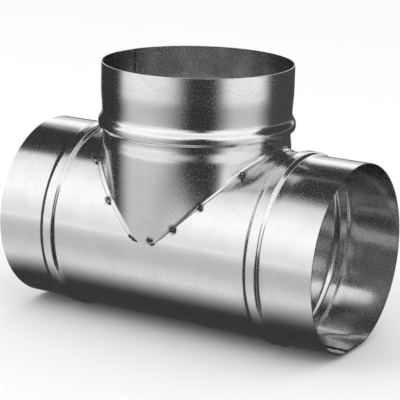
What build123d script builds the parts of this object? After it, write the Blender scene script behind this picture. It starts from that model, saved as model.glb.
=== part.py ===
from build123d import *
from math import atan2, degrees, radians, sin, sqrt, tan
import os

# Duct tee of thin galvanised sheet for 100 mm round duct, in millimetres.
# +X runs along the through duct and +Z up the branch. The origin lies under the middle of the run,
# on the plane that the tee stands on.

os.makedirs("parts", exist_ok=True)

# Sheet and its lap seams
sheet = 0.6
lap_width = 12.0  # overlap of the two ends of a rolled sheet
joggle = 1.5  # length over which the inner end steps in behind the outer one
lap_gap = 0.3  # open line beside the outer end's edge

# Run, the through duct
run_radius = 50.0  # outside
seam_flat_margin = 1.0  # flat past each side of the lap and its joggle: the double seam doesn't bend
seam_flat_depth = 1.5  # how far that flat lies inside the round section
run_bead_setback = 33.1  # mouth to the middle of the stop bead
bead_to_flange = 10.0  # middle of a stop bead to a flange centred between the two

# Branch collar, of the run's size
branch_offset = -2.3  # branch axis from the middle of the run
neck_step = 0.7  # the collar's neck stands this far outside the run's radius
flare_step = 0.6  # and its spigot this far outside the neck
flare_length = 12.0  # from the bead to where the spigot has its full size
flare_bend = 90.0  # radius of the bends at the end of that flare
branch_bead_rise = 10.5  # crown of the run to the middle of the collar's stop bead
branch_bead_setback = 31.4  # rim to the middle of that bead

# Rolled stop beads
bead_crest = 4.0  # between the corners of a bead's top
bead_slope = 34.0  # degrees, of its flanks
bead_bend = 4.0  # bend radius on the skin at its corners
run_bead_height = 1.6
branch_bead_height = 2.0

# Saddle seam
hole_lip = 1.0  # how far the run's sheet reaches inside the collar's bore
flange_width = 2.3  # at the crown, past the collar's neck
seam_drop = 3.7  # corner of the seam's V below the run axis, before it is rounded
seam_round = 16.0  # rounding of that V
tack_radius = 1.3
tack_angles = (-52.4, -28.4, 4.5, 18.5, 33.8, 58.7)  # degrees about the branch axis, from the front

# Sizes that follow
axis_height = run_radius - seam_flat_depth + run_bead_height
flat_height = run_bead_height
half_flat = lap_width / 2 + joggle + seam_flat_margin
flat_to_axis = run_radius - seam_flat_depth
blend_radius = (run_radius**2 - half_flat**2 - flat_to_axis**2) / (2 * seam_flat_depth)
blend_angle = degrees(atan2(half_flat, flat_to_axis - blend_radius))
neck_radius = run_radius + neck_step
branch_radius = neck_radius + flare_step
collar_bore = neck_radius - sheet
flange_radius = neck_radius + flange_width
run_bead_place = flange_radius + bead_to_flange
run_length = 2 * (run_bead_place + run_bead_setback)
branch_bead_place = run_radius + branch_bead_rise
branch_reach = branch_bead_place + branch_bead_setback
branch_axis = Axis((branch_offset, 0, axis_height), (0, 0, 1))


def bead_half_foot(height):
    """From the middle of a bead to the corner where its flank leaves the wall."""
    return bead_crest / 2 + height / tan(radians(bead_slope))


def bead(middle, radius, height):
    """Corners of a rolled bead's skin, as places along the tube and radii."""
    return [
        (middle - bead_half_foot(height), radius),
        (middle - bead_crest / 2, radius + height),
        (middle + bead_crest / 2, radius + height),
        (middle + bead_half_foot(height), radius),
    ]


def sheet_wall(corners, bends, thickness):
    """Section of a sheet wall, from its outer skin inwards."""
    with BuildSketch() as wall:
        with BuildLine():
            FilletPolyline(*corners, radius=bends)
            offset(amount=thickness, side=Side.RIGHT)
        make_face()
    return wall.sketch


def seam_height(along):
    """Height over the run axis of the flange's edge, this far along the run from the branch axis."""
    if abs(along) < seam_round / sqrt(2):
        return seam_round * sqrt(2) - seam_drop - sqrt(seam_round**2 - along**2)
    return abs(along) - seam_drop


# The run's wall, drawn about its section's line: places along the run, and distance outwards
run_corners = [
    (-run_length / 2, 0),
    *bead(-run_bead_place, 0, run_bead_height),
    *bead(run_bead_place, 0, run_bead_height),
    (run_length / 2, 0),
]

run_wall = sheet_wall(run_corners, bead_bend, sheet)
run_double_wall = sheet_wall(run_corners, bead_bend, 2 * sheet)


def across_flat(place):
    """Plane across the seam's flat under the run, with its second direction outwards."""
    return Plane((0, place, flat_height), x_dir=(1, 0, 0), z_dir=(0, 1, 0))


with BuildPart() as run_tube:
    with BuildLine(Plane.YZ) as section:
        Line((-half_flat, flat_height), (half_flat, flat_height))
        CenterArc((half_flat, flat_height + blend_radius), blend_radius, -90, blend_angle)
        CenterArc((0, axis_height), run_radius, blend_angle - 90, 360 - 2 * blend_angle)
        CenterArc((-half_flat, flat_height + blend_radius), blend_radius, 270 - blend_angle, blend_angle)
    with BuildSketch(across_flat(-half_flat)):
        add(run_wall)
    sweep(path=section.wires()[0])
    # The inner end of the sheet, lapped behind the outer one along the flat
    with BuildSketch(across_flat(-lap_width / 2)):
        add(run_double_wall)
    extrude(amount=lap_width + joggle)
    with BuildSketch(across_flat(lap_width / 2)):
        add(run_wall)
    extrude(amount=lap_gap, mode=Mode.SUBTRACT)
    # The hole under the branch
    with BuildSketch(Plane.XY.offset(axis_height)):
        with Locations((branch_offset, 0)):
            Circle(collar_bore - hole_lip)
    extrude(amount=2 * run_radius, mode=Mode.SUBTRACT)
run_tube.part.label = "run_tube"
export_step(run_tube.part, "parts/run_tube.step")

# The collar's wall, drawn up its axis: heights over the run axis, and radii
collar_corners = [
    (0, neck_radius),
    *bead(branch_bead_place, neck_radius, branch_bead_height),
    (branch_bead_place + bead_half_foot(branch_bead_height) + flare_length, branch_radius),
    (branch_reach, branch_radius),
]
collar_bends = [bead_bend] * 4 + [flare_bend]
collar_wall = sheet_wall(collar_corners, collar_bends, sheet)
collar_double_wall = sheet_wall(collar_corners, collar_bends, 2 * sheet)


def up_collar(angle):
    """Plane through the branch axis, its first direction up and its second outwards at this angle from +X."""
    outwards = Vector(1, 0, 0).rotate(Axis.Z, angle)
    return Plane((branch_offset, 0, axis_height), x_dir=(0, 0, 1), z_dir=Vector(0, 0, 1).cross(outwards))


lap_angle = degrees(lap_width / neck_radius)
joggle_angle = degrees(joggle / neck_radius)
gap_angle = degrees(lap_gap / neck_radius)

with BuildPart() as branch_collar:
    # Flange: a band of sheet that follows the run's skin round the saddle
    with BuildSketch(Plane.XY.offset(axis_height)):
        with Locations((branch_offset, 0)):
            Circle(flange_radius)
            Circle(collar_bore, mode=Mode.SUBTRACT)
    extrude(amount=2 * run_radius)
    with BuildSketch(Plane.YZ):
        with Locations((0, axis_height)):
            Circle(run_radius + sheet)
    extrude(amount=run_length / 2, both=True, mode=Mode.INTERSECT)
    # Wall, with its lap on the left: the inner end shows in the bore at 180 degrees
    with BuildSketch(up_collar(180)):
        add(collar_wall)
    revolve(axis=branch_axis)
    with BuildSketch(up_collar(180)):
        add(collar_double_wall)
    revolve(axis=branch_axis, revolution_arc=-(lap_angle + joggle_angle))
    with BuildSketch(up_collar(180 - lap_angle)):
        add(collar_wall)
    revolve(axis=branch_axis, revolution_arc=-gap_angle, mode=Mode.SUBTRACT)
    # Saddle
    with BuildSketch(Plane.YZ):
        with Locations((0, axis_height)):
            Circle(run_radius)
    extrude(amount=run_length / 2, both=True, mode=Mode.SUBTRACT)
    with BuildSketch(Plane.XZ.offset(-2 * run_radius)):
        with BuildLine():
            corner = (branch_offset, axis_height - seam_drop)
            edge = FilletPolyline(
                (corner[0] - flange_radius, corner[1] + flange_radius),
                corner,
                (corner[0] + flange_radius, corner[1] + flange_radius),
                radius=seam_round,
            )
            Polyline(edge @ 1, (corner[0] + flange_radius, 0), (corner[0] - flange_radius, 0), edge @ 0)
        make_face()
    extrude(amount=4 * run_radius, mode=Mode.SUBTRACT)
branch_collar.part.label = "branch_collar"
export_step(branch_collar.part, "parts/branch_collar.step")

with BuildPart() as seam_tacks:
    for side in (-1, 1):
        for angle in tack_angles:
            along = flange_radius * sin(radians(angle))
            up = seam_height(along)
            across = sqrt(run_radius**2 - up**2)
            with Locations((branch_offset - side * along, side * across, axis_height + up)):
                Sphere(tack_radius)
    with BuildSketch(Plane.YZ):
        with Locations((0, axis_height)):
            Circle(run_radius)
    extrude(amount=run_length / 2, both=True, mode=Mode.SUBTRACT)
    add(branch_collar.part, mode=Mode.SUBTRACT)
seam_tacks.part.label = "seam_tacks"
export_step(seam_tacks.part, "parts/seam_tacks.step")
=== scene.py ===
"""Looks of a galvanised duct tee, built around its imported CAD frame.

Lengths are metres in the part's own frame: +X along the run, +Z up the branch, and the origin on the
plane that the tee stands on, under the middle of the run. Angles in fields are degrees.
"""

import logging
import math
from abc import ABC, abstractmethod
from dataclasses import dataclass
from enum import Enum

import bmesh
import bpy
from mathutils import Matrix, Vector

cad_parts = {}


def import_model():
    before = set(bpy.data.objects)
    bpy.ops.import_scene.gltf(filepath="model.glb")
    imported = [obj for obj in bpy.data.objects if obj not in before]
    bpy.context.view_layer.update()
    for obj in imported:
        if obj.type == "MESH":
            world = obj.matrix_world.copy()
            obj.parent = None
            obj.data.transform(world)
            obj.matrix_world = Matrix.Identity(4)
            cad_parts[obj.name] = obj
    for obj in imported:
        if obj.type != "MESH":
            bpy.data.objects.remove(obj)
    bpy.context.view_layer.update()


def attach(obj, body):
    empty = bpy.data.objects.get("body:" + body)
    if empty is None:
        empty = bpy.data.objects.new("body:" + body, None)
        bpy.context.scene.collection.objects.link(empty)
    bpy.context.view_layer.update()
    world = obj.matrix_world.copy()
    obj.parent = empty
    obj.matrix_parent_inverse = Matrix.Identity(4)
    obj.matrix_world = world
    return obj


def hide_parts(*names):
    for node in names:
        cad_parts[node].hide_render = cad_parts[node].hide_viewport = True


MM = 0.001
# Under this, a length or an angle counts as none
TINY = 1e-9
# A length past the end of every piece, for a form that isn't there
UNREACHED = 1.0

log = logging.getLogger("duct_tee")

Column = list[int]
Row = tuple[float, float]
Span = tuple[float, float]
Colour = tuple[float, float, float]
Socket = bpy.types.NodeSocket
SocketValue = bpy.types.NodeSocket | float | int | bool | tuple | Vector | bpy.types.Material


class Slot(Enum):
    """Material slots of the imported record."""

    SHEET = "galvanised_sheet"
    WELD = "burnt_weld"


class Node(Enum):
    """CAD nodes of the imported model."""

    RUN = "run_tube"
    COLLAR = "branch_collar"
    TACKS = "seam_tacks"


def smooth_step(value: float, start: float, end: float) -> float:
    """Rises smoothly from 0 to 1 while value goes from start to end."""
    share = min(max((value - start) / (end - start), 0.0), 1.0)
    return share * share * (3 - 2 * share)


def spread(start: float, end: float, count: int) -> list[float]:
    """Evenly spaced values from start to end, both included."""
    return [start + (end - start) * i / (count - 1) for i in range(count)]


def curve(start: Row, corner: Row, end: Row, share: float) -> Row:
    """Point on a bend.

    Args:
        start: where the bend starts.
        corner: where the lines that it joins would meet.
        end: where it ends.
        share: 0 at its start, 1 at its end.

    Returns:
        The point.
    """
    weights = ((1 - share) ** 2, 2 * share * (1 - share), share**2)
    points = (start, corner, end)
    return tuple(sum(weight * point[i] for weight, point in zip(weights, points)) for i in (0, 1))


def walk(line: list[Row], distances: list[float]) -> list[Row]:
    """Points on a line of straight runs.

    Args:
        line: the line's corners.
        distances: rising distances along the line from its first corner.

    Returns:
        The point at each distance, and the line's end for any past it.
    """
    points = []
    start, passed = 0, 0.0
    for distance in distances:
        while start < len(line) - 2 and passed + math.dist(line[start], line[start + 1]) < distance:
            passed += math.dist(line[start], line[start + 1])
            start += 1
        first, second = line[start], line[start + 1]
        share = min((distance - passed) / max(math.dist(first, second), TINY), 1.0)
        points.append((first[0] + (second[0] - first[0]) * share, first[1] + (second[1] - first[1]) * share))
    return points


class Graph:
    """Adds nodes to one node tree and joins them."""

    def __init__(self, tree: bpy.types.NodeTree) -> None:
        """Starts on a tree.

        Args:
            tree: the node tree to fill.
        """
        self.tree = tree

    def join(self, value: Socket, node: bpy.types.Node, key: int | str) -> None:
        """Joins a socket to a node's input."""
        self.tree.links.new(value, node.inputs[key])

    def add(
        self, kind: str, inputs: dict[int | str, SocketValue] | None = None, **settings: object
    ) -> bpy.types.Node:
        """Adds a node, sets its options and fills or joins its inputs.

        Args:
            kind: the node's type.
            inputs: a value or another node's socket for each input, by its name or number.
            settings: options of the node.

        Returns:
            The new node.
        """
        node = self.tree.nodes.new(kind)
        for option, setting in settings.items():
            setattr(node, option, setting)
        for key, value in (inputs or {}).items():
            if isinstance(value, bpy.types.NodeSocket):
                self.join(value, node, key)
            else:
                node.inputs[key].default_value = value
        return node

    def math(self, operation: str, *values: SocketValue) -> Socket:
        """Result of a Math node on the given values."""
        return self.add("ShaderNodeMath", dict(enumerate(values)), operation=operation).outputs[0]

    def remap(
        self,
        value: SocketValue,
        source: tuple[SocketValue, SocketValue],
        target: tuple[SocketValue, SocketValue] = (0.0, 1.0),
        blend: str = "SMOOTHSTEP",
    ) -> Socket:
        """Maps a value from one range to another.

        Args:
            value: what is mapped.
            source: the range that it comes from.
            target: the range that it goes to.
            blend: how it goes from one end to the other.

        Returns:
            The mapped value.
        """
        inputs = dict(enumerate((value, *source, *target)))
        return self.add("ShaderNodeMapRange", inputs, interpolation_type=blend).outputs[0]

    def parts(self, vector: Socket) -> bpy.types.NodeOutputs:
        """X, Y and Z of a vector."""
        return self.add("ShaderNodeSeparateXYZ", {0: vector}).outputs

    def vector(self, *parts: SocketValue) -> Socket:
        """A vector of the given X, Y and Z."""
        return self.add("ShaderNodeCombineXYZ", dict(enumerate(parts))).outputs[0]

    def scaled(self, vector: Socket, factors: tuple[float, float, float]) -> Socket:
        """A vector with each part multiplied by its factor."""
        return self.add("ShaderNodeVectorMath", {0: vector, 1: factors}, operation="MULTIPLY").outputs[0]

    def noise(self, vector: Socket, scale: SocketValue, detail: float = 2.0) -> Socket:
        """Noise from 0 to 1 at a place."""
        inputs = {"Vector": vector, "Scale": scale, "Detail": detail}
        return self.add("ShaderNodeTexNoise", inputs).outputs[0]

    def tinted(self, share: Socket, first: Socket | Colour, second: Colour) -> Socket:
        """Colour that goes from the first to the second with a share from 0 to 1."""
        start = first if isinstance(first, bpy.types.NodeSocket) else (*first, 1.0)
        inputs = {"Factor": share, 6: start, 7: (*second, 1.0)}
        return self.add("ShaderNodeMix", inputs, data_type="RGBA").outputs[2]

    def place(self) -> Socket:
        """Place on the object, inside a material."""
        return self.add("ShaderNodeTexCoord").outputs["Object"]

    def position(self) -> Socket:
        """Place of a point, inside a Geometry Nodes tree."""
        return self.add("GeometryNodeInputPosition").outputs[0]

    def attribute(self, name: str, kind: str) -> Socket:
        """Value of a mesh's attribute, inside a Geometry Nodes tree."""
        node = self.add("GeometryNodeInputNamedAttribute", {"Name": name}, data_type=kind)
        return next(output for output in node.outputs if output.enabled)


class GeometryTree:
    """A Geometry Nodes tree with named inputs, which shapes one mesh."""

    def __init__(self, name: str, numbers: tuple[str, ...], vectors: tuple[str, ...] = ()) -> None:
        """Makes the tree with its inputs and output.

        Args:
            name: the tree's name.
            numbers: names of its number inputs.
            vectors: names of its vector inputs.
        """
        self.tree = bpy.data.node_groups.new(name, "GeometryNodeTree")
        self.graph = Graph(self.tree)
        self.keys: dict[str, str] = {}
        self.new_input("Geometry", "NodeSocketGeometry")
        for number in numbers:
            self.new_input(number, "NodeSocketFloat")
        for vector in vectors:
            self.new_input(vector, "NodeSocketVector")
        self.new_input("Material", "NodeSocketMaterial")
        self.tree.interface.new_socket(name="Geometry", in_out="OUTPUT", socket_type="NodeSocketGeometry")
        self.inputs = self.graph.add("NodeGroupInput").outputs

    def new_input(self, name: str, kind: str) -> None:
        """Adds a named input and keeps its identifier."""
        socket = self.tree.interface.new_socket(name=name, in_out="INPUT", socket_type=kind)
        self.keys[name] = socket.identifier

    def close(self, geometry: Socket) -> None:
        """Ends the tree: smooth shading, realised instances and the material."""
        smooth = self.graph.add("GeometryNodeSetShadeSmooth", {0: geometry}).outputs[0]
        real = self.graph.add("GeometryNodeRealizeInstances", {0: smooth}).outputs[0]
        inputs = {"Geometry": real, "Material": self.inputs["Material"]}
        dressed = self.graph.add("GeometryNodeSetMaterial", inputs).outputs[0]
        self.graph.add("NodeGroupOutput", {0: dressed})

    def shape(self, piece: bpy.types.Object, values: dict[str, object]) -> None:
        """Puts the tree on a piece as a modifier.

        Args:
            piece: the object to shape.
            values: a value for each named input.
        """
        modifier = piece.modifiers.new(self.tree.name, "NODES")
        modifier.node_group = self.tree
        for name, value in values.items():
            modifier[self.keys[name]] = value


def settle(piece: bpy.types.Object, sharp_over: float) -> None:
    """Turns a piece's modified shape into its own plain mesh.

    Args:
        piece: the object.
        sharp_over: degrees between two faces, over which their edge is shaded sharp.
    """
    depsgraph = bpy.context.evaluated_depsgraph_get()
    mesh = bpy.data.meshes.new_from_object(
        piece.evaluated_get(depsgraph), preserve_all_data_layers=True, depsgraph=depsgraph
    )
    rough_mesh = piece.data
    piece.modifiers.clear()
    piece.data = mesh
    bpy.data.meshes.remove(rough_mesh)
    mesh.name = piece.name
    mesh.set_sharp_from_angle(angle=math.radians(sharp_over))


def show(name: str, mesh: bpy.types.Mesh) -> bpy.types.Object:
    """Adds a mesh to the scene as an object of that name."""
    piece = bpy.data.objects.new(name, mesh)
    bpy.context.scene.collection.objects.link(piece)
    return piece


@dataclass(frozen=True)
class Sheet:
    """The rolled sheet and its lap seams."""

    thickness: float = 0.6 * MM
    lap_width: float = 12 * MM
    joggle: float = 1.5 * MM
    lap_gap: float = 0.3 * MM
    lap_clearance: float = 0.02 * MM

    @property
    def lap_step(self) -> float:
        """How far the inner end lies under the outer one."""
        return self.thickness + self.lap_clearance


class FlatBlank:
    """A cut sheet, flat before it is rolled: x runs round the duct, y along it, and z is lift off it."""

    def __init__(self) -> None:
        """Starts empty."""
        self.places: list[tuple[float, float, float]] = []
        self.faces: list[tuple[int, int, int, int]] = []

    def column(self, around: float, rows: list[Row]) -> Column:
        """Adds a line of points across the blank.

        Args:
            around: the line's place round the duct.
            rows: place along the duct and lift of each point.

        Returns:
            The points' numbers.
        """
        first = len(self.places)
        self.places.extend((around, along, lift) for along, lift in rows)
        return list(range(first, len(self.places)))

    def fill(self, column: Column, following: Column) -> None:
        """Fills the faces between two neighbouring columns."""
        for i in range(len(column) - 1):
            self.faces.append((column[i], following[i], following[i + 1], column[i + 1]))

    def to_object(self, name: str) -> bpy.types.Object:
        """Makes the blank an object whose UV map holds its flat places in metres."""
        mesh = bpy.data.meshes.new(name)
        mesh.from_pydata(self.places, [], self.faces)
        layer = mesh.uv_layers.new(name="blank")
        for loop in mesh.loops:
            around, along, lift = self.places[loop.vertex_index]
            layer.data[loop.index].uv = (around, along - lift)
        mesh.update()
        return show(name, mesh)


@dataclass(frozen=True)
class Bead:
    """A stop bead rolled into a duct's wall.

    A lean over 0 makes its first flank longer than its second. An ease under 1 puts the steep part of its
    second flank nearer to the crest, and that of its first flank nearer to the foot.
    """

    middle: float
    height: float
    half_crest: float
    half_width: float
    lean: float = 0.0
    ease: float = 1.0

    @property
    def end(self) -> float:
        """Where its second flank meets the wall."""
        return self.middle + self.half_width / (1 + self.lean)

    def rows(self, spacing: float) -> list[float]:
        """Places along the duct that catch the bead's shape."""
        start = self.middle - self.half_width / (1 - self.lean)
        return spread(start, self.end, math.ceil((self.end - start) / spacing) + 1)

    def inputs(self) -> dict[str, float]:
        """Its sizes, by the rolling tree's inputs."""
        return {
            "Bead Height": self.height,
            "First Bead": self.middle,
            "Half Crest": self.half_crest,
            "Half Bead": self.half_width,
            "Bead Lean": self.lean,
            "Bead Ease": self.ease,
        }


class RollingTree(GeometryTree):
    """Rolls a flat blank into a duct, with its beads, its flare and the flat under its seam."""

    numbers = (
        "Radius",
        "Flat Distance",
        "Flat Softness",
        "Bead Height",
        "First Bead",
        "Second Bead",
        "Half Crest",
        "Half Bead",
        "Bead Lean",
        "Bead Ease",
        "Flare",
        "Flare Start",
        "Flare End",
        "Wave Height",
        "Wave Length",
    )
    # Away from the seam, where the section is round, the cosine counts as this much at least
    least_cosine = 0.3

    def __init__(self) -> None:
        """Builds the tree."""
        super().__init__("rolled_sheet", self.numbers, vectors=("Place", "Turn"))
        graph = self.graph
        flat = graph.parts(graph.position())
        angle = graph.math("DIVIDE", flat["X"], self.inputs["Radius"])
        sine = graph.math("SINE", angle)
        cosine = graph.math("COSINE", angle)
        lifted = graph.math("ADD", self.section(cosine), flat["Z"])
        for extra in (self.beads(flat["Y"]), self.flare(flat["Y"]), self.waves(flat["Y"], sine, cosine)):
            lifted = graph.math("ADD", lifted, extra)
        across = graph.math("MULTIPLY", lifted, sine)
        up = graph.math("MULTIPLY", graph.math("MULTIPLY", lifted, cosine), -1.0)
        inputs = {"Geometry": self.inputs["Geometry"], "Position": graph.vector(flat["Y"], across, up)}
        rolled = graph.add("GeometryNodeSetPosition", inputs).outputs[0]
        inputs = {"Geometry": rolled, "Translation": self.inputs["Place"], "Rotation": self.inputs["Turn"]}
        self.close(graph.add("GeometryNodeTransform", inputs).outputs[0])

    def section(self, cosine: Socket) -> Socket:
        """The skin's distance from the axis, less where the seam's flat cuts the round."""
        graph = self.graph
        slope = graph.math("MAXIMUM", cosine, self.least_cosine)
        flat = graph.math("DIVIDE", self.inputs["Flat Distance"], slope)
        return graph.math("SMOOTH_MIN", self.inputs["Radius"], flat, self.inputs["Flat Softness"])

    def beads(self, along: Socket) -> Socket:
        """How far the two beads stand out at a place along the duct."""
        graph = self.graph
        shares = []
        for name in ("First Bead", "Second Bead"):
            offset = graph.math("SUBTRACT", along, self.inputs[name])
            side = graph.math("SIGN", offset)
            lean = graph.math("MULTIPLY_ADD", side, self.inputs["Bead Lean"], 1.0)
            ease = graph.math("POWER", self.inputs["Bead Ease"], side)
            distance = graph.math("MULTIPLY", graph.math("ABSOLUTE", offset), lean)
            edges = (self.inputs["Half Crest"], self.inputs["Half Bead"])
            down = graph.math("POWER", graph.remap(distance, edges, blend="LINEAR"), ease)
            shares.append(graph.remap(down, (0.0, 1.0), (1.0, 0.0), "SMOOTHERSTEP"))
        return graph.math("MULTIPLY", graph.math("ADD", *shares), self.inputs["Bead Height"])

    def flare(self, along: Socket) -> Socket:
        """How far the flared end stands out."""
        edges = (self.inputs["Flare Start"], self.inputs["Flare End"])
        return self.graph.remap(along, edges, (0.0, self.inputs["Flare"]))

    def waves(self, along: Socket, sine: Socket, cosine: Socket) -> Socket:
        """Slow, slight waves of hand-rolled sheet, the same for both layers of a lap."""
        graph = self.graph
        across = graph.math("MULTIPLY", sine, self.inputs["Radius"])
        up = graph.math("MULTIPLY", cosine, self.inputs["Radius"])
        scale = graph.math("DIVIDE", 1.0, self.inputs["Wave Length"])
        noise = graph.noise(graph.vector(along, across, up), scale, detail=1.0)
        return graph.math("MULTIPLY", graph.math("SUBTRACT", noise, 0.5), self.inputs["Wave Height"])


@dataclass
class RolledDuct:
    """Anything rolled from one blank: its shared sizes, and how it gets its wall."""

    name: str
    radius: float
    sheet: Sheet
    axis_height: float = 50.1 * MM
    wave_height: float = 0.05 * MM
    wave_length: float = 28 * MM
    row_spacing: float = 0.5 * MM
    column_angle: float = 1.5
    joggle_columns: int = 7
    rim_row: float = 0.4 * MM
    sharp_over: float = 50.0

    def columns(self, stops: list[float]) -> list[float]:
        """Angles from the first to the last stop, in degrees, that meet every stop."""
        angles = [stops[0]]
        for start, end in zip(stops, stops[1:]):
            count = max(2, math.ceil(abs(end - start) / self.column_angle) + 1)
            angles.extend(spread(start, end, count)[1:])
        return angles

    def inner_lift(self, past_joggle: float) -> float:
        """Lift of the sheet's inner end.

        Args:
            past_joggle: length round the duct from the joggle's start towards the end.

        Returns:
            The lift, which is negative under the outer end.
        """
        return -self.sheet.lap_step * smooth_step(past_joggle, 0.0, self.sheet.joggle - self.sheet.lap_gap)

    def form(
        self, blank: FlatBlank, tree: RollingTree, values: dict[str, object], finish: bpy.types.Material
    ) -> bpy.types.Object:
        """Rolls the blank, gives it its thickness and dresses it.

        Args:
            blank: the flat sheet.
            tree: the tree that rolls it.
            values: sizes for the tree's inputs, over those of a duct with no flat, flare or second bead.
            finish: the sheet's material.

        Returns:
            The finished piece, as a plain mesh.
        """
        piece = blank.to_object(self.name)
        shared = {
            "Radius": self.radius,
            "Flat Distance": UNREACHED,
            "Flat Softness": 0.0,
            "Second Bead": UNREACHED,
            "Flare": 0.0,
            "Flare Start": UNREACHED,
            "Flare End": 2 * UNREACHED,
            "Wave Height": self.wave_height,
            "Wave Length": self.wave_length,
            "Turn": (0.0, 0.0, 0.0),
            "Material": finish,
        }
        tree.shape(piece, {**shared, **values})
        wall = piece.modifiers.new("wall", "SOLIDIFY")
        wall.thickness = self.sheet.thickness
        wall.offset = -1.0
        wall.use_even_offset = True
        settle(piece, self.sharp_over)
        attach(piece, "root")
        return piece


@dataclass
class RunSheet(RolledDuct):
    """The through duct, with the branch's hole in its crown and its lap seam underneath.

    Its bead is the right-hand one, and the left-hand one lies as far from the middle.
    """

    length: float = 192.2 * MM
    flat_distance: float = 48.5 * MM
    flat_softness: float = 1.6 * MM
    bead: Bead = Bead(63 * MM, 1.6 * MM, half_crest=1.7 * MM, half_width=5.2 * MM, lean=0.22)
    bead_margin: float = 1.5 * MM
    hole_middle: float = -2.3 * MM
    hole_radius: float = 49.1 * MM
    columns_at_hole: int = 91
    rows_to_bead: int = 12
    rows_to_mouth: int = 8

    def hole_columns(self) -> dict[float, float]:
        """Columns across the hole: their angles from the seam, and the hole's half length there."""
        columns = {}
        for turn in spread(-90.0, 90.0, self.columns_at_hole):
            across = self.hole_radius * math.sin(math.radians(turn))
            angle = -180.0 + math.degrees(math.asin(across / self.radius))
            columns[angle] = self.hole_radius * abs(math.cos(math.radians(turn)))
        return columns

    def mouth_rows(self, direction: int) -> list[float]:
        """Distances from the middle, from just inside a bead out to the mouth.

        Args:
            direction: 1 for the right-hand mouth, -1 for the left-hand one.

        Returns:
            The distances, rising.
        """
        bead = self.bead.rows(self.row_spacing)
        if direction < 0:
            bead = [2 * self.bead.middle - row for row in reversed(bead)]
        mouth = spread(bead[-1], self.length / 2, self.rows_to_mouth)
        rim = (self.length / 2 - self.rim_row, self.length / 2)
        return [bead[0] - self.bead_margin, *bead, *mouth[1:-1], *rim]

    def side_rows(self, edge: float, direction: int) -> list[float]:
        """Places from the hole's edge, or the middle, out to a mouth.

        Args:
            edge: where the rows start.
            direction: 1 to the right-hand mouth, -1 to the left-hand one.

        Returns:
            The places, in the order of the duct's length.
        """
        outer = [direction * place for place in self.mouth_rows(direction)]
        inner = spread(edge, outer[0], self.rows_to_bead)
        rows = [*inner[:-1], *outer]
        return rows if direction > 0 else rows[::-1]

    def blank(self) -> FlatBlank:
        """The sheet before it is rolled, from its inner end to its outer one."""
        blank = FlatBlank()
        half_lap = self.sheet.lap_width / 2
        lap_turn, gap_turn, joggle_turn = (
            math.degrees(math.asin((half_lap + past) / self.flat_distance))
            for past in (0.0, self.sheet.lap_gap, self.sheet.joggle)
        )
        joggle_start = -360 + joggle_turn
        hole = self.hole_columns()
        hole_turns = sorted(hole)
        before = self.columns([-360 - lap_turn, -360 + lap_turn, -360 + gap_turn])
        joggle = spread(-360 + gap_turn, joggle_start, self.joggle_columns)
        back = self.columns([joggle_start, hole_turns[0]])
        front = self.columns([hole_turns[-1], lap_turn])
        previous: tuple[Column, Column] | None = None
        for turn in (*before, *joggle[1:], *back[1:-1], *hole_turns, *front[1:]):
            around = math.radians(turn) * self.radius
            lift = self.inner_lift(math.radians(joggle_start - turn) * self.radius)
            half_hole = hole.get(turn, 0.0)
            left_rows = self.side_rows(self.hole_middle - half_hole, -1)
            right_rows = self.side_rows(self.hole_middle + half_hole, 1)
            left = blank.column(around, [(row, lift) for row in left_rows])
            if half_hole > TINY:
                right = blank.column(around, [(row, lift) for row in right_rows])
            else:
                right = [left[-1], *blank.column(around, [(row, lift) for row in right_rows[1:]])]
            if previous is not None:
                blank.fill(previous[0], left)
                blank.fill(previous[1], right)
            previous = (left, right)
        return blank

    def build(self, tree: RollingTree, finish: bpy.types.Material) -> bpy.types.Object:
        """Makes the run and puts it in the CAD node's place."""
        values = {
            **self.bead.inputs(),
            "First Bead": -self.bead.middle,
            "Second Bead": self.bead.middle,
            "Flat Distance": self.flat_distance,
            "Flat Softness": self.flat_softness,
            "Place": (0.0, 0.0, self.axis_height),
        }
        piece = self.form(self.blank(), tree, values, finish)
        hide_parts(Node.RUN.value)
        return piece


@dataclass(frozen=True)
class SaddleSeam:
    """The line where the collar's flange ends on the run."""

    run_radius: float
    flange_radius: float = 53 * MM
    drop: float = 3.7 * MM
    rounding: float = 16 * MM

    def height(self, along: float) -> float:
        """Height of the seam over the run's axis, this far along the run from the branch's axis."""
        if abs(along) < self.rounding / math.sqrt(2):
            return self.rounding * math.sqrt(2) - self.drop - math.sqrt(self.rounding**2 - along**2)
        return abs(along) - self.drop


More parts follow.
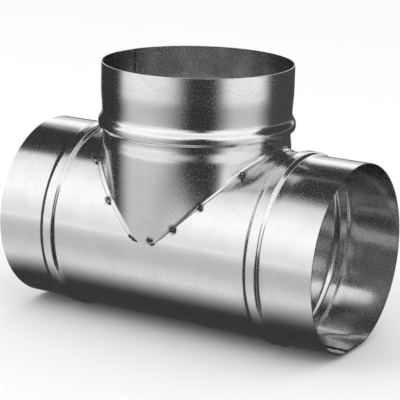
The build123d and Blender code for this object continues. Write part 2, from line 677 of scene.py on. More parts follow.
@dataclass
class CollarSheet(RolledDuct):
    """The branch collar: spigot, bead, neck, and the flange that lies on the run.

    Its two ends are angles from +X about the branch's axis. A span is the two angles from the front, or
    the two places up the collar, between which a form comes or goes. The two values of the edge's roll
    and of its drop are those on the left and on the right of the front.
    """

    offset: float = -2.3 * MM
    run_radius: float = 50 * MM
    reach: float = 91.9 * MM
    flare_step: float = 0.6 * MM
    flare_length: float = 12 * MM
    bead: Bead = Bead(58.9 * MM, 2.0 * MM, half_crest=0.85 * MM, half_width=3.6 * MM, lean=-0.5, ease=0.76)
    outer_end: float = 166.44
    inner_end: float = 540.0
    flange_end_gap: float = 1.2
    foot_bend: float = 1.1 * MM
    bend_rise: float = 1.2 * MM
    flange_rise: float = 0.05 * MM
    edge_rise: float = 0.25 * MM
    edge_roll: tuple[float, float] = (0.9 * MM, 1.9 * MM)
    edge_drop: tuple[float, float] = (0.6 * MM, 0.3 * MM)
    edge_shares: tuple[float, ...] = (1.0, 0.44, 0.11)
    most_roll: float = 0.75
    gentle_from: Span = (-16.0, -6.0)
    wide_from: Span = (4.0, 16.0)
    splay_depth: float = 1.3 * MM
    splay_height: float = 24 * MM
    splay_from: Span = (-4.0, 36.0)
    splay_until: Span = (38.0, 64.0)
    dip_depth: float = 0.5 * MM
    dip_from: Span = (47.5 * MM, 54.0 * MM)
    dip_under_bead: float = 2.4 * MM
    reach_halvings: int = 40
    rows_on_flange: int = 4
    rows_on_bend: int = 7
    rows_on_foot: int = 9
    rows_on_neck: int = 34
    rows_on_spigot: int = 12

    @property
    def seam(self) -> SaddleSeam:
        """The flange's edge."""
        return SaddleSeam(self.run_radius)

    def saddle_height(self, out: float, turn: float, rise: float) -> float:
        """Height over the run's axis of the flange's skin, this far out from the branch's axis."""
        skin = self.run_radius + self.sheet.thickness + rise
        return math.sqrt(max(skin**2 - (out * math.sin(turn)) ** 2, 0.0))

    def above_seam(self, out: float, turn: float) -> bool:
        """Whether the flange, this far out from the branch's axis, is still above its edge."""
        return self.saddle_height(out, turn, 0.0) >= self.seam.height(out * math.cos(turn))

    def flange_reach(self, turn: float) -> float:
        """How far out the flange goes at an angle, found by halving."""
        near, far = self.radius, self.seam.flange_radius
        if self.above_seam(far, turn):
            return far
        for _ in range(self.reach_halvings):
            middle = (near + far) / 2
            if self.above_seam(middle, turn):
                near = middle
            else:
                far = middle
        return near

    def foot_height(self, lift: float, turn: float, rise: float) -> float:
        """Height of the foot over the run's axis: on the run's skin, and no lower than the seam."""
        out = self.radius + lift
        return max(self.saddle_height(out, turn, rise), self.seam.height(out * math.cos(turn)))

    def around_front(self, turn: float) -> float:
        """Degrees from the front to the right, or from the back to the left, of an angle in radians."""
        return math.degrees(turn) % 180 - 90

    def roll(self, turn: float) -> Row:
        """Width and depth of the roll along the flange's cut edge, tight on the left of the front."""
        around = self.around_front(turn)
        wide = smooth_step(around, *self.wide_from)
        gentle = smooth_step(around, *self.gentle_from)
        width = self.edge_roll[0] + (self.edge_roll[1] - self.edge_roll[0]) * wide
        return width, self.edge_drop[0] + (self.edge_drop[1] - self.edge_drop[0]) * gentle

    def splay(self, turn: float) -> float:
        """How far the neck's foot stands out, at an angle in radians."""
        around = self.around_front(turn)
        past = 1 - smooth_step(around, *self.splay_until)
        return self.splay_depth * smooth_step(around, *self.splay_from) * past

    def dip(self, up: float) -> float:
        """How far the neck is drawn in under the stop bead, at a place up the collar."""
        under = 1 - smooth_step(up, self.bead.middle - self.dip_under_bead, self.bead.middle)
        return self.dip_depth * smooth_step(up, *self.dip_from) * under

    def foot_line(self, turn: float, width_share: float) -> list[Row]:
        """Line of the flange and the bend at its root, from the edge inwards and up.

        Args:
            turn: angle about the branch's axis, in radians.
            width_share: 1 for the whole flange, 0 for none.

        Returns:
            Place up the collar and lift of each corner of the line.
        """
        full_width = self.seam.flange_radius - self.radius
        width = (self.flange_reach(turn) - self.radius) * width_share
        edge_rise = self.edge_rise * (1 - smooth_step(self.around_front(turn), *self.wide_from))
        foot = self.splay(turn) * width_share
        bend = foot + min(self.foot_bend, (width - foot) / 2)
        line = []
        for share in spread(1.0, 0.0, self.rows_on_flange):
            lift = bend + (width - bend) * share
            rise = self.flange_rise + edge_rise * (lift / full_width) ** 2
            line.append((self.foot_height(lift, turn, rise), lift))
        low = line.pop()
        corner = (self.foot_height(foot, turn, self.flange_rise), foot)
        high = (corner[0] + max(bend - foot, self.bend_rise), foot)
        line.extend(curve(low, corner, high, share) for share in spread(0.0, 1.0, self.rows_on_bend))
        return line

    def foot_rows(self, turn: float, width_share: float) -> list[Row]:
        """Rows of the foot, with its cut edge rolled down a little.

        Args:
            turn: angle about the branch's axis, in radians.
            width_share: 1 for the whole flange, 0 for none.

        Returns:
            Place up the collar and lift of each row.
        """
        line = self.foot_line(turn, width_share)
        length = sum(math.dist(first, second) for first, second in zip(line, line[1:]))
        roll, depth = self.roll(turn)
        roll = min(roll, self.most_roll * length)
        steps = len(self.edge_shares)
        on_roll = [i * roll / steps for i in range(steps)]
        rows = walk(line, [*on_roll, *spread(roll, length, self.rows_on_foot)])
        run = (rows[steps][0] - rows[0][0], rows[steps][1] - rows[0][1])
        out = (-run[1] / math.hypot(*run), run[0] / math.hypot(*run))
        for i, share in enumerate(self.edge_shares):
            drop = depth * share
            rows[i] = (rows[i][0] - out[0] * drop, rows[i][1] - out[1] * drop)
        return rows

    def wall_rows(self, foot: Row) -> list[Row]:
        """Rows of the wall from the foot to the rim.

        Args:
            foot: place up the collar and lift of the foot's last row.

        Returns:
            Place up the collar and lift of each row.
        """
        bead = self.bead.rows(self.row_spacing)
        neck = spread(foot[0], bead[0], self.rows_on_neck)
        spigot = spread(bead[-1], self.reach - self.rim_row, self.rows_on_spigot)
        rows = []
        for up in (*neck[1:-1], *bead, *spigot[1:], self.reach):
            above = min((up - foot[0]) / self.splay_height, 1.0)
            rows.append((up, foot[1] * (1 - above) ** 2 - self.dip(up)))
        return rows

    def blank(self) -> FlatBlank:
        """The sheet before it is rolled, from its outer end to its inner one."""
        blank = FlatBlank()
        joggle_start = self.outer_end + 360 - math.degrees(self.sheet.joggle / self.radius)
        joggle_end = self.outer_end + 360 - math.degrees(self.sheet.lap_gap / self.radius)
        flange_end = joggle_start - self.flange_end_gap
        joggle = spread(joggle_start, joggle_end, self.joggle_columns)
        turns = [
            *self.columns([self.outer_end, flange_end, joggle_start]),
            *joggle[1:],
            *self.columns([joggle[-1], self.inner_end])[1:],
        ]
        previous: Column | None = None
        for degrees in turns:
            turn = math.radians(degrees)
            sunk = self.inner_lift(math.radians(degrees - joggle_start) * self.radius)
            foot = self.foot_rows(turn, 1.0 if degrees <= flange_end + TINY else 0.0)
            rows = [(up, lift + sunk) for up, lift in (*foot, *self.wall_rows(foot[-1]))]
            column = blank.column(turn * self.radius, rows)
            if previous is not None:
                blank.fill(previous, column)
            previous = column
        return blank

    def build(self, tree: RollingTree, finish: bpy.types.Material) -> bpy.types.Object:
        """Makes the collar and puts it in the CAD node's place."""
        values = {
            **self.bead.inputs(),
            "Flare": self.flare_step,
            "Flare Start": self.bead.end,
            "Flare End": self.bead.end + self.flare_length,
            "Place": (self.offset, 0.0, self.axis_height),
            "Turn": (0.0, -math.pi / 2, 0.0),
        }
        piece = self.form(self.blank(), tree, values, finish)
        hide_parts(Node.COLLAR.value)
        return piece


class LumpTree(GeometryTree):
    """Puts an uneven lump of weld on every point, flattened onto the surface that the point faces from."""

    numbers = (
        "Radius",
        "Flatness",
        "Smallest",
        "Largest",
        "Unevenness",
        "Grain",
        "Seed",
        "Deepest",
        "Axis Height",
    )
    subdivisions = 4

    def __init__(self) -> None:
        """Builds the tree."""
        super().__init__("weld_lumps", self.numbers)
        graph = self.graph
        facing = graph.attribute("facing", "FLOAT_VECTOR")
        turn = graph.add("FunctionNodeAlignRotationToVector", {"Vector": facing}, axis="Z")
        inputs = {"Radius": self.inputs["Radius"], "Subdivisions": self.subdivisions}
        ball = graph.add("GeometryNodeMeshIcoSphere", inputs)
        inputs = {
            "Points": self.inputs["Geometry"],
            "Instance": ball.outputs[0],
            "Rotation": turn.outputs[0],
            "Scale": self.size(),
        }
        placed = graph.add("GeometryNodeInstanceOnPoints", inputs).outputs[0]
        real = graph.add("GeometryNodeRealizeInstances", {0: placed}).outputs[0]
        inputs = {"Geometry": real, "Offset": self.unevenness()}
        uneven = graph.add("GeometryNodeSetPosition", inputs).outputs[0]
        inputs = {"Geometry": uneven, "Position": self.not_through()}
        self.close(graph.add("GeometryNodeSetPosition", inputs).outputs[0])

    def size(self) -> Socket:
        """Random size of each lump, which is lower than it is wide."""
        graph = self.graph
        inputs = {2: self.inputs["Smallest"], 3: self.inputs["Largest"], "Seed": self.inputs["Seed"]}
        drawn = graph.add("FunctionNodeRandomValue", inputs, data_type="FLOAT").outputs[1]
        wide = graph.math("MULTIPLY", drawn, graph.attribute("share", "FLOAT"))
        return graph.vector(wide, wide, graph.math("MULTIPLY", wide, self.inputs["Flatness"]))

    def unevenness(self) -> Socket:
        """How far each point of a lump moves in or out."""
        graph = self.graph
        scale = graph.math("DIVIDE", 1.0, self.inputs["Grain"])
        noise = graph.noise(graph.position(), scale, detail=3.0)
        height = graph.math("MULTIPLY", graph.math("SUBTRACT", noise, 0.5), self.inputs["Unevenness"])
        normal = graph.add("GeometryNodeInputNormal").outputs[0]
        return graph.add("ShaderNodeVectorMath", {0: normal, "Scale": height}, operation="SCALE").outputs[0]

    def not_through(self) -> Socket:
        """Position, moved out to the deepest distance from the run's axis where it lies nearer to it."""
        graph = self.graph
        place = graph.parts(graph.position())
        up = graph.math("SUBTRACT", place["Z"], self.inputs["Axis Height"])
        squares = [graph.math("POWER", part, 2.0) for part in (place["Y"], up)]
        distance = graph.math("SQRT", graph.math("ADD", *squares))
        share = graph.math("DIVIDE", graph.math("MAXIMUM", distance, self.inputs["Deepest"]), distance)
        height = graph.math("MULTIPLY_ADD", up, share, self.inputs["Axis Height"])
        return graph.vector(place["X"], graph.math("MULTIPLY", place["Y"], share), height)


@dataclass(frozen=True)
class Lump:
    """One lump of weld: its place, the way that it faces, and its share of the full size."""

    place: Vector
    facing: Vector
    share: float


@dataclass
class WeldTacks:
    """Tack welds that hold the collar's flange on the run, front and back.

    Each blob of a tack is given by how far right of and above the tack it lies, and by its share of the
    full size. The bead is a thin line of weld beside the lowest tack in front.
    """

    seam: SaddleSeam
    offset: float
    axis_height: float
    radius: float = 1.5 * MM
    angles: tuple[float, ...] = (-52.4, -28.4, 5.0, 18.5, 33.8, 58.7)
    rises: tuple[float, ...] = (0.0, 0.0, 1.7 * MM, 0.0, 0.0, 0.0)
    blobs: tuple[tuple[float, float, float], ...] = (
        (0.0, 0.0, 1.0),
        (0.9 * MM, -1.1 * MM, 0.62),
        (-1.2 * MM, 0.5 * MM, 0.7),
    )
    bead_angles: tuple[float, ...] = (-9.4, -8.6, -7.8, -7.0, -6.2, -5.4, -4.6)
    bead_share: float = 0.58
    bead_rise: float = 0.6 * MM
    stand: float = 0.3 * MM
    stand_of_rise: float = 0.25
    sunk: float = 0.3 * MM
    flatness: float = 0.8
    sizes: tuple[float, float] = (0.9, 1.25)
    unevenness: float = 1.5 * MM
    grain: float = 1.3 * MM
    seed: float = 4.0

    def on_seam(self, angle: float, rise: float) -> tuple[float, float]:
        """A place on the seam, or over it.

        Args:
            angle: degrees about the branch's axis, from the front to the right.
            rise: height over the seam.

        Returns:
            Distance from the branch's axis along the run, and height over the run's axis.
        """
        along = self.seam.flange_radius * math.sin(math.radians(angle))
        return along, self.seam.height(along) + rise

    def lump(self, along: float, up: float, side: int, out: float, share: float) -> Lump:
        """A lump by the run's skin.

        Args:
            along: distance from the branch's axis, to the right on the front.
            up: height over the run's axis of the skin below the lump.
            side: -1 for the front, 1 for the back.
            out: how far outside the skin the lump's middle lies.
            share: its share of the full size.

        Returns:
            The lump.
        """
        across = math.sqrt(self.seam.run_radius**2 - up**2)
        facing = Vector((0.0, side * across, up)).normalized()
        place = Vector((self.offset - side * along, side * across, self.axis_height + up))
        return Lump(place + facing * out, facing, share)

    def lumps(self) -> list[Lump]:
        """All lumps: the blobs of each tack, and the bead."""
        found = []
        for side in (-1, 1):
            for angle, rise in zip(self.angles, self.rises):
                along, up = self.on_seam(angle, rise)
                out = self.stand + self.stand_of_rise * rise
                for right, over, share in self.blobs:
                    found.append(self.lump(along + right, up + over, side, out, share))
        for angle in self.bead_angles:
            along, up = self.on_seam(angle, self.bead_rise)
            found.append(self.lump(along, up, -1, self.stand, self.bead_share))
        return found

    def middles(self) -> tuple[Vector, ...]:
        """Middle of each tack."""
        return tuple(lump.place for lump in self.lumps() if lump.share == 1.0)

    def build(self, tree: LumpTree, finish: bpy.types.Material) -> bpy.types.Object:
        """Makes all the tacks as one piece and puts it in the CAD node's place."""
        lumps = self.lumps()
        mesh = bpy.data.meshes.new("tack_lumps")
        mesh.from_pydata([lump.place for lump in lumps], [], [])
        facing = mesh.attributes.new("facing", "FLOAT_VECTOR", "POINT")
        facing.data.foreach_set("vector", [value for lump in lumps for value in lump.facing])
        shares = mesh.attributes.new("share", "FLOAT", "POINT")
        shares.data.foreach_set("value", [lump.share for lump in lumps])
        piece = show("tack_lumps", mesh)
        values = {
            "Radius": self.radius,
            "Flatness": self.flatness,
            "Smallest": self.sizes[0],
            "Largest": self.sizes[1],
            "Unevenness": self.unevenness,
            "Grain": self.grain,
            "Seed": self.seed,
            "Deepest": self.seam.run_radius - self.sunk,
            "Axis Height": self.axis_height,
            "Material": finish,
        }
        tree.shape(piece, values)
        settle(piece, sharp_over=180.0)
        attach(piece, "root")
        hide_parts(Node.TACKS.value)
        return piece


def empty_material(name: str) -> tuple[bpy.types.Material, Graph]:
    """A node material with no nodes yet, and its graph."""
    material = bpy.data.materials.new(name)
    material.use_nodes = True
    material.node_tree.nodes.clear()
    return material, Graph(material.node_tree)


def new_material(name: str) -> tuple[bpy.types.Material, Graph, bpy.types.Node]:
    """A material with its graph, and its main shader already joined to the output."""
    material, graph = empty_material(name)
    shader = graph.add("ShaderNodeBsdfPrincipled")
    graph.add("ShaderNodeOutputMaterial", {"Surface": shader.outputs[0]})
    return material, graph, shader


@dataclass(frozen=True)
class GalvanisedFinish:
    """Bright hot-dipped zinc on rolled sheet: fine grain drawn out along the duct, and dull patches.

    The two sizes of grain, specks and marks are round the duct and along it.
    """

    heat_places: tuple[Vector, ...]
    zinc: Colour = (0.69, 0.69, 0.685)
    dull_zinc: Colour = (0.655, 0.655, 0.65)
    heat_tint: Colour = (0.10, 0.095, 0.09)
    heat_reach: Span = (1.0 * MM, 3.6 * MM)
    heat_share: float = 0.75
    heat_grain: float = 2 * MM
    heat_unevenness: float = 3 * MM
    roughness: float = 0.13
    dull_roughness: float = 0.02
    speck_roughness: float = 0.19
    patch_size: float = 9 * MM
    patch_range: Span = (0.42, 0.68)
    grain_size: tuple[float, float] = (0.45 * MM, 3.5 * MM)
    grain_height: float = 0.005 * MM
    speck_size: tuple[float, float] = (0.55 * MM, 0.95 * MM)
    speck_range: Span = (0.52, 0.70)
    speck_height: float = 0.005 * MM
    mark_size: tuple[float, float] = (96 * MM, 1.6 * MM)
    mark_height: float = 0.003 * MM

    def build(self) -> bpy.types.Material:
        """Makes the material."""
        material, graph, shader = new_material(Slot.SHEET.value)
        shader.inputs["Metallic"].default_value = 1.0
        flat = graph.add("ShaderNodeUVMap", uv_map="blank").outputs[0]
        place = graph.place()
        dull = graph.remap(graph.noise(place, 1 / self.patch_size, detail=4.0), self.patch_range)
        colour = graph.tinted(dull, self.zinc, self.dull_zinc)
        graph.join(graph.tinted(self.heat(graph, place), colour, self.heat_tint), shader, "Base Color")
        grain, speckle, marks = (
            graph.noise(graph.scaled(flat, (1 / across, 1 / along, 1.0)), 1.0)
            for across, along in (self.grain_size, self.speck_size, self.mark_size)
        )
        specks = graph.remap(speckle, self.speck_range)
        rough = graph.math("MULTIPLY_ADD", dull, self.dull_roughness, self.roughness)
        rough = graph.math("MULTIPLY_ADD", specks, self.speck_roughness, rough)
        graph.join(rough, shader, "Roughness")
        height = graph.math("MULTIPLY", grain, self.grain_height)
        height = graph.math("MULTIPLY_ADD", specks, self.speck_height, height)
        height = graph.math("MULTIPLY_ADD", marks, self.mark_height, height)
        bump = graph.add("ShaderNodeBump", {"Strength": 1.0, "Distance": 1.0, "Height": height})
        graph.join(bump.outputs[0], shader, "Normal")
        return material

    def heat(self, graph: Graph, place: Socket) -> Socket:
        """Share of dull heat tint round the tacks.

        Args:
            graph: the material's graph.
            place: place on the piece.

        Returns:
            A value from 0 to 1, uneven at its edge.
        """
        nearest: Socket | float = UNREACHED
        for middle in self.heat_places:
            distance = graph.add("ShaderNodeVectorMath", {0: place, 1: middle}, operation="DISTANCE")
            nearest = graph.math("MINIMUM", nearest, distance.outputs["Value"])
        noise = graph.noise(place, 1 / self.heat_grain)
        uneven = graph.math("MULTIPLY_ADD", noise, self.heat_unevenness, -self.heat_unevenness / 2)
        return graph.remap(graph.math("ADD", nearest, uneven), self.heat_reach, (self.heat_share, 0.0))


@dataclass(frozen=True)
class BurntWeldFinish:
    """Black scale on a weld, with small bright beads of bare metal.

    The two values of metallic and roughness are those of the scale and of the bare metal.
    """

    scale_colour: Colour = (0.02, 0.019, 0.018)
    metal_colour: Colour = (0.55, 0.54, 0.52)
    metallic: tuple[float, float] = (0.2, 1.0)
    roughness: tuple[float, float] = (0.65, 0.3)
    bead_size: float = 1.1 * MM
    bead_range: Span = (0.54, 0.64)
    bead_height: float = 0.25 * MM

    def build(self) -> bpy.types.Material:
        """Makes the material."""
        material, graph, shader = new_material(Slot.WELD.value)
        noise = graph.noise(graph.place(), 1 / self.bead_size, detail=3.0)
        bare = graph.remap(noise, self.bead_range)
        graph.join(graph.tinted(bare, self.scale_colour, self.metal_colour), shader, "Base Color")
        graph.join(graph.remap(bare, (0.0, 1.0), self.metallic), shader, "Metallic")
        graph.join(graph.remap(bare, (0.0, 1.0), self.roughness), shader, "Roughness")
        bump = graph.add("ShaderNodeBump", {"Strength": 1.0, "Distance": self.bead_height, "Height": noise})
        graph.join(bump.outputs[0], shader, "Normal")
        return material


def glowing(name: str) -> tuple[bpy.types.Material, Graph, bpy.types.Node, bpy.types.Node]:
    """A material that glows plainly where it is solid, and is clear elsewhere.

    Args:
        name: the material's name.

    Returns:
        The material, its graph, its glow, and the mix whose factor is 1 where it is solid.
    """
    material, graph = empty_material(name)
    clear = graph.add("ShaderNodeBsdfTransparent")
    glow = graph.add("ShaderNodeEmission")
    mixed = graph.add("ShaderNodeMixShader", {1: clear.outputs[0], 2: glow.outputs[0]})
    graph.add("ShaderNodeOutputMaterial", {"Surface": mixed.outputs[0]})
    return material, graph, glow, mixed


def level_plate(name: str, half: float, height: float) -> bpy.types.Mesh:
    """A level square plate, given by half its side and its height."""
    mesh = bpy.data.meshes.new(name)
    places = [(-half, -half, height), (half, -half, height), (half, half, height), (-half, half, height)]
    mesh.from_pydata(places, [], [(0, 1, 2, 3)])
    return mesh


@dataclass(frozen=True)
class MirroredPiece(ABC):
    """A piece of the studio that only the metal's reflections see."""

    name: str

    @abstractmethod
    def mesh(self) -> bpy.types.Mesh:
        """The piece's mesh."""

    @abstractmethod
    def material(self) -> bpy.types.Material:
        """The piece's glow."""

    def build(self) -> None:
        """Puts the piece in the studio and hides it from all but glossy rays."""
        piece = show(self.name, self.mesh())
        piece.data.materials.append(self.material())
        piece.visible_camera = False
        piece.visible_diffuse = False
        piece.visible_transmission = False
        piece.visible_volume_scatter = False
        piece.visible_shadow = False


@dataclass(frozen=True)
class ReflectionCard(MirroredPiece):
    """A curved grey card, given by the directions that it covers.

    Azimuths go from the front to the right. The two values of an edge are how far the card fades out at
    the start and at the end of what it covers.
    """

    azimuths: Span
    elevations: Span
    grey: float = 0.04
    side_edges: tuple[float, float] = (8.0, 8.0)
    level_edges: tuple[float, float] = (6.0, 6.0)
    distance: float = 1.3
    middle_height: float = 0.07
    face_angle: float = 6.0

    def point(self, azimuth: float, elevation: float) -> Vector:
        """Point of the card in a direction."""
        turn, tilt = math.radians(azimuth), math.radians(elevation)
        away = Vector((math.sin(turn) * math.cos(tilt), -math.cos(turn) * math.cos(tilt), math.sin(tilt)))
        return away * self.distance + Vector((0.0, 0.0, self.middle_height))

    def steps(self, span: Span) -> list[float]:
        """Degrees from the start of a span to its end, at most a face apart."""
        width = span[1] - span[0]
        return spread(0.0, width, max(2, math.ceil(width / self.face_angle) + 1))

    def mesh(self) -> bpy.types.Mesh:
        """The card's curved patch, with UVs in degrees from its first corner."""
        columns, rows = self.steps(self.azimuths), self.steps(self.elevations)
        points = [self.point(self.azimuths[0] + u, self.elevations[0] + v) for u in columns for v in rows]
        count = len(rows)
        faces = [
            (i * count + j, (i + 1) * count + j, (i + 1) * count + j + 1, i * count + j + 1)
            for i in range(len(columns) - 1)
            for j in range(count - 1)
        ]
        mesh = bpy.data.meshes.new(self.name)
        mesh.from_pydata(points, [], faces)
        layer = mesh.uv_layers.new(name="degrees")
        for loop in mesh.loops:
            column, row = divmod(loop.vertex_index, count)
            layer.data[loop.index].uv = (columns[column], rows[row])
        return mesh

    def material(self) -> bpy.types.Material:
        """Plain grey that fades out towards the card's edges."""
        material, graph, glow, mixed = glowing(self.name)
        glow.inputs["Color"].default_value = (self.grey, self.grey, self.grey, 1.0)
        parts = graph.parts(graph.add("ShaderNodeUVMap", uv_map="degrees").outputs[0])
        cover: Socket | float = 1.0
        sides = (parts["X"], self.azimuths, self.side_edges)
        levels = (parts["Y"], self.elevations, self.level_edges)
        for part, span, edges in (sides, levels):
            width = span[1] - span[0]
            cover = graph.math("MULTIPLY", cover, graph.remap(part, (0.0, edges[0])))
            cover = graph.math("MULTIPLY", cover, graph.remap(part, (width - edges[1], width), (1.0, 0.0)))
        graph.join(cover, mixed, 0)
        return material


@dataclass(frozen=True)
class TableMirror(MirroredPiece):
    """What the metal mirrors of the table: a painted contact shadow right round the tee, and a bright glowing
    ring far out.

    The painted shadow ends nearer to the run on its left than on its right. The ring shows in two sectors,
    each given by the angles from the front between which it comes and those between which it goes.
    """

    name: str = "table_mirror"
    half_run: float = 96 * MM
    height: float = -0.1 * MM
    # Dim glow of the painted contact shadow round the tee
    painted_shadow: float = 0.05
    painted_shadow_start: float = 39 * MM
    painted_shadow_ends: Span = (76 * MM, 88 * MM)
    painted_shadow_sides: Span = (15 * MM, 85 * MM)
    ring: float = 1.25
    ring_edges: Span = (0.60, 0.77)
    ring_end: Span = (1.0, 1.2)
    ring_sectors: tuple[tuple[Span, Span], ...] = (
        ((-72.0, -56.0), (-16.0, 18.0)),
        ((56.0, 70.0), (105.0, 125.0)),
    )

    def mesh(self) -> bpy.types.Mesh:
        """A level plate as wide as the ring."""
        return level_plate(self.name, self.ring_end[1], self.height)

    def from_run(self, graph: Graph, parts: bpy.types.NodeOutputs) -> Socket:
        """Distance of a place on the table from the line below the run's axis.

        Args:
            graph: the material's graph.
            parts: the place, by axis.

        Returns:
            The distance.
        """
        past = graph.math("SUBTRACT", graph.math("ABSOLUTE", parts["X"]), self.half_run)
        along = graph.math("MAXIMUM", past, 0.0)
        squares = [graph.math("POWER", graph.math("ABSOLUTE", part), 2.0) for part in (along, parts["Y"])]
        return graph.math("SQRT", graph.math("ADD", *squares))

    def lit(self, graph: Graph, parts: bpy.types.NodeOutputs) -> Socket:
        """Share of the ring that shows in each direction from the tee.

        Args:
            graph: the material's graph.
            parts: place on the table, by axis.

        Returns:
            A value from 0 to 1.
        """
        turn = graph.math("ARCTAN2", parts["X"], graph.math("MULTIPLY", parts["Y"], -1.0))
        degrees = graph.math("MULTIPLY", turn, math.degrees(1.0))
        shares = []
        for comes, goes in self.ring_sectors:
            rise = graph.remap(degrees, comes)
            shares.append(graph.math("MULTIPLY", rise, graph.remap(degrees, goes, (1.0, 0.0))))
        return graph.math("MAXIMUM", *shares)

    def material(self) -> bpy.types.Material:
        """The painted shadow by distance from the run, and the glowing ring by distance and direction."""
        material, graph, glow, mixed = glowing(self.name)
        place = graph.place()
        parts = graph.parts(place)
        painted_shadow_end = graph.remap(parts["X"], self.painted_shadow_sides, self.painted_shadow_ends)
        # Painted contact shadow: whole near the run, fading out further off
        painted_shadow = graph.remap(self.from_run(graph, parts), (self.painted_shadow_start, painted_shadow_end), (1.0, 0.0))
        reach = graph.add("ShaderNodeVectorMath", {0: place}, operation="LENGTH").outputs["Value"]
        ring = graph.math("MULTIPLY", graph.remap(reach, self.ring_edges), self.lit(graph, parts))
        ring = graph.math("MULTIPLY", ring, graph.remap(reach, self.ring_end, (1.0, 0.0)))
        graph.join(graph.math("MAXIMUM", painted_shadow, ring), mixed, 0)
        between = (self.ring_edges[0] / 2, self.ring_edges[0])
        # Glow goes from the painted shadow's dim grey near the tee to the ring's bright glow far out
        graph.join(graph.remap(reach, between, (self.painted_shadow, self.ring)), glow, "Strength")
        return material


@dataclass(frozen=True)
class LightTent(MirroredPiece):
    """The pale tent all round: its levels are elevations, with the glow at each."""

    name: str = "light_tent"
    radius: float = 2.6
    subdivisions: int = 4
    levels: tuple[tuple[float, float], ...] = (
        (-44.0, 0.96),
        (-36.0, 0.88),
        (-24.0, 0.71),
        (-14.0, 0.72),
        (0.0, 1.06),
        (27.0, 1.40),
        (35.0, 1.38),
        (62.0, 0.95),
    )

    def mesh(self) -> bpy.types.Mesh:
        """A ball that faces inwards."""
        mesh = bpy.data.meshes.new(self.name)
        form = bmesh.new()
        bmesh.ops.create_icosphere(form, subdivisions=self.subdivisions, radius=self.radius)
        bmesh.ops.reverse_faces(form, faces=form.faces)
        form.to_mesh(mesh)
        form.free()
        return mesh

    def material(self) -> bpy.types.Material:
        """The tent's glow by elevation."""
        material, graph, glow, mixed = glowing(self.name)
        away = graph.add("ShaderNodeVectorMath", {0: graph.place()}, operation="NORMALIZE").outputs[0]
        height = graph.parts(away)["Z"]
        elevation = graph.math("MULTIPLY", graph.math("ARCSINE", height), math.degrees(1.0))
        strength: Socket | float = self.levels[0][1]
        for (start, _), (end, glow_there) in zip(self.levels, self.levels[1:]):
            strength = graph.remap(elevation, (start, end), (strength, glow_there))
        graph.join(strength, glow, "Strength")
        mixed.inputs[0].default_value = 1.0
        return material


@dataclass(frozen=True)
class Lamp:
    """A soft square lamp aimed at the tee."""

    name: str
    place: tuple[float, float, float]
    size: float
    power: float
    target: tuple[float, float, float] = (0.0, 0.0, 0.06)

    def build(self) -> None:
        """Hangs the lamp in the studio, where reflections don't see it."""
        data = bpy.data.lights.new(self.name, "AREA")
        data.size = self.size
        data.energy = self.power
        lamp = bpy.data.objects.new(self.name, data)
        lamp.location = self.place
        lamp.rotation_mode = "QUATERNION"
        lamp.rotation_quaternion = (Vector(self.target) - Vector(self.place)).to_track_quat("-Z", "Y")
        lamp.visible_glossy = False
        bpy.context.scene.collection.objects.link(lamp)


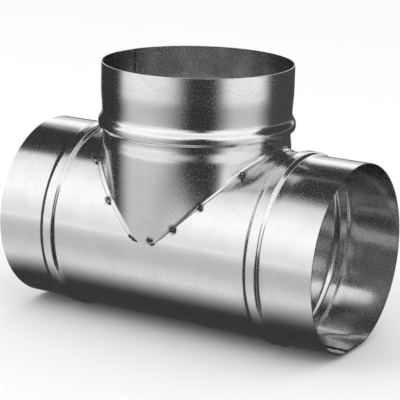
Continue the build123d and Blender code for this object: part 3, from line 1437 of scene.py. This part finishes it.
@dataclass
class Studio:
    """Camera, floor, lamps, and the cards, table and tent that the metal mirrors."""

    azimuth: float = 31.546
    elevation: float = 14.443
    roll: float = 1.366
    lens: float = 153.193
    sensor: float = 36.0
    clip: Span = (0.01, 100.0)
    camera_place: Vector = Vector((465.305, -756.687, 295.536)) * MM
    floor_size: float = 6.0
    floor_drop: float = 0.4 * MM
    floor_white: float = 0.92

    def camera(self) -> None:
        """The camera at the photograph's angle."""
        data = bpy.data.cameras.new("camera")
        data.lens = self.lens
        data.sensor_width = self.sensor
        data.sensor_fit = "HORIZONTAL"
        data.clip_start, data.clip_end = self.clip
        camera = bpy.data.objects.new("camera", data)
        turn = Matrix.Rotation(math.radians(self.azimuth), 4, "Z")
        tilt = Matrix.Rotation(math.radians(90 - self.elevation), 4, "X")
        roll = Matrix.Rotation(math.radians(self.roll), 4, "Z")
        camera.matrix_world = Matrix.Translation(self.camera_place) @ turn @ tilt @ roll
        bpy.context.scene.collection.objects.link(camera)
        bpy.context.scene.camera = camera

    def floor(self) -> None:
        """The plain pale floor, which reflections don't see."""
        floor = show("floor", level_plate("floor", self.floor_size / 2, -self.floor_drop))
        material, _, shader = new_material("floor")
        shader.inputs["Base Color"].default_value = (self.floor_white,) * 3 + (1.0,)
        shader.inputs["Roughness"].default_value = 1.0
        shader.inputs["Specular IOR Level"].default_value = 0.0
        floor.data.materials.append(material)
        floor.visible_glossy = False

    def surroundings(self) -> None:
        """The white world, and the plain view of colours."""
        world = bpy.data.worlds.new("studio")
        world.use_nodes = True
        background = world.node_tree.nodes["Background"]
        background.inputs["Color"].default_value = (1.0, 1.0, 1.0, 1.0)
        background.inputs["Strength"].default_value = 1.0
        bpy.context.scene.world = world
        bpy.context.scene.view_settings.view_transform = "Standard"

    def lamps(self) -> list[Lamp]:
        """The two lamps."""
        return [
            Lamp("key_lamp", place=(-0.9, -1.2, 1.6), size=1.0, power=6.0),
            Lamp("fill_lamp", place=(1.4, -0.6, 1.3), size=1.2, power=3.0),
        ]

    def cards(self) -> list[ReflectionCard]:
        """Cards round the tee, most of them near black; elsewhere the metal mirrors the table, with its
        painted shadow, and the tent.
        """
        return [
            ReflectionCard("card_left", (-134, -71), (-46, 84), side_edges=(8, 9), level_edges=(10, 6)),
            ReflectionCard("card_above", (-134, -30), (56, 88), side_edges=(8, 14), level_edges=(10, 4)),
            ReflectionCard("card_left_low", (-100, -50), (-34, 18), side_edges=(8, 28), level_edges=(10, 20)),
            ReflectionCard("card_left_rear", (-172, -126), (27, 74), level_edges=(11, 6)),
            ReflectionCard("card_behind_low", (98, 232), (-60, 9), 0.07, (34, 10), level_edges=(6, 9)),
            ReflectionCard("card_behind_right", (108, 182), (2, 74), grey=0.05),
            ReflectionCard("card_behind_line", (-178, -128), (3, 20), grey=0.72),
            ReflectionCard("card_camera", (8, 58), (-60, 34), side_edges=(30, 20)),
            ReflectionCard("card_camera_low", (-12, 76), (-60, 2), 0.04, (40, 30), (6, 5), distance=1.25),
            ReflectionCard("card_before_camera", (-32, 88), (-60, -9), 0.52, (32, 30), (6, 4), distance=1.4),
        ]

    def build(self) -> None:
        """Sets up the whole studio."""
        self.surroundings()
        self.camera()
        self.floor()
        for piece in (*self.lamps(), TableMirror(), LightTent(), *self.cards()):
            piece.build()


def main() -> None:
    """Builds the tee and its studio."""
    logging.basicConfig(level=logging.INFO, format="%(name)s: %(message)s")
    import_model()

    Studio().build()

    sheet = Sheet()
    run = RunSheet(name="run_sheet", radius=50 * MM, sheet=sheet)
    collar = CollarSheet(name="collar_sheet", radius=50.7 * MM, sheet=sheet)
    tacks = WeldTacks(collar.seam, collar.offset, run.axis_height)
    zinc = GalvanisedFinish(tacks.middles()).build()
    rolling = RollingTree()
    pieces = (
        run.build(rolling, zinc),
        collar.build(rolling, zinc),
        tacks.build(LumpTree(), BurntWeldFinish().build()),
    )
    for piece in pieces:
        log.info("%s has %d faces", piece.name, len(piece.data.polygons))


if __name__ == "__main__":
    main()
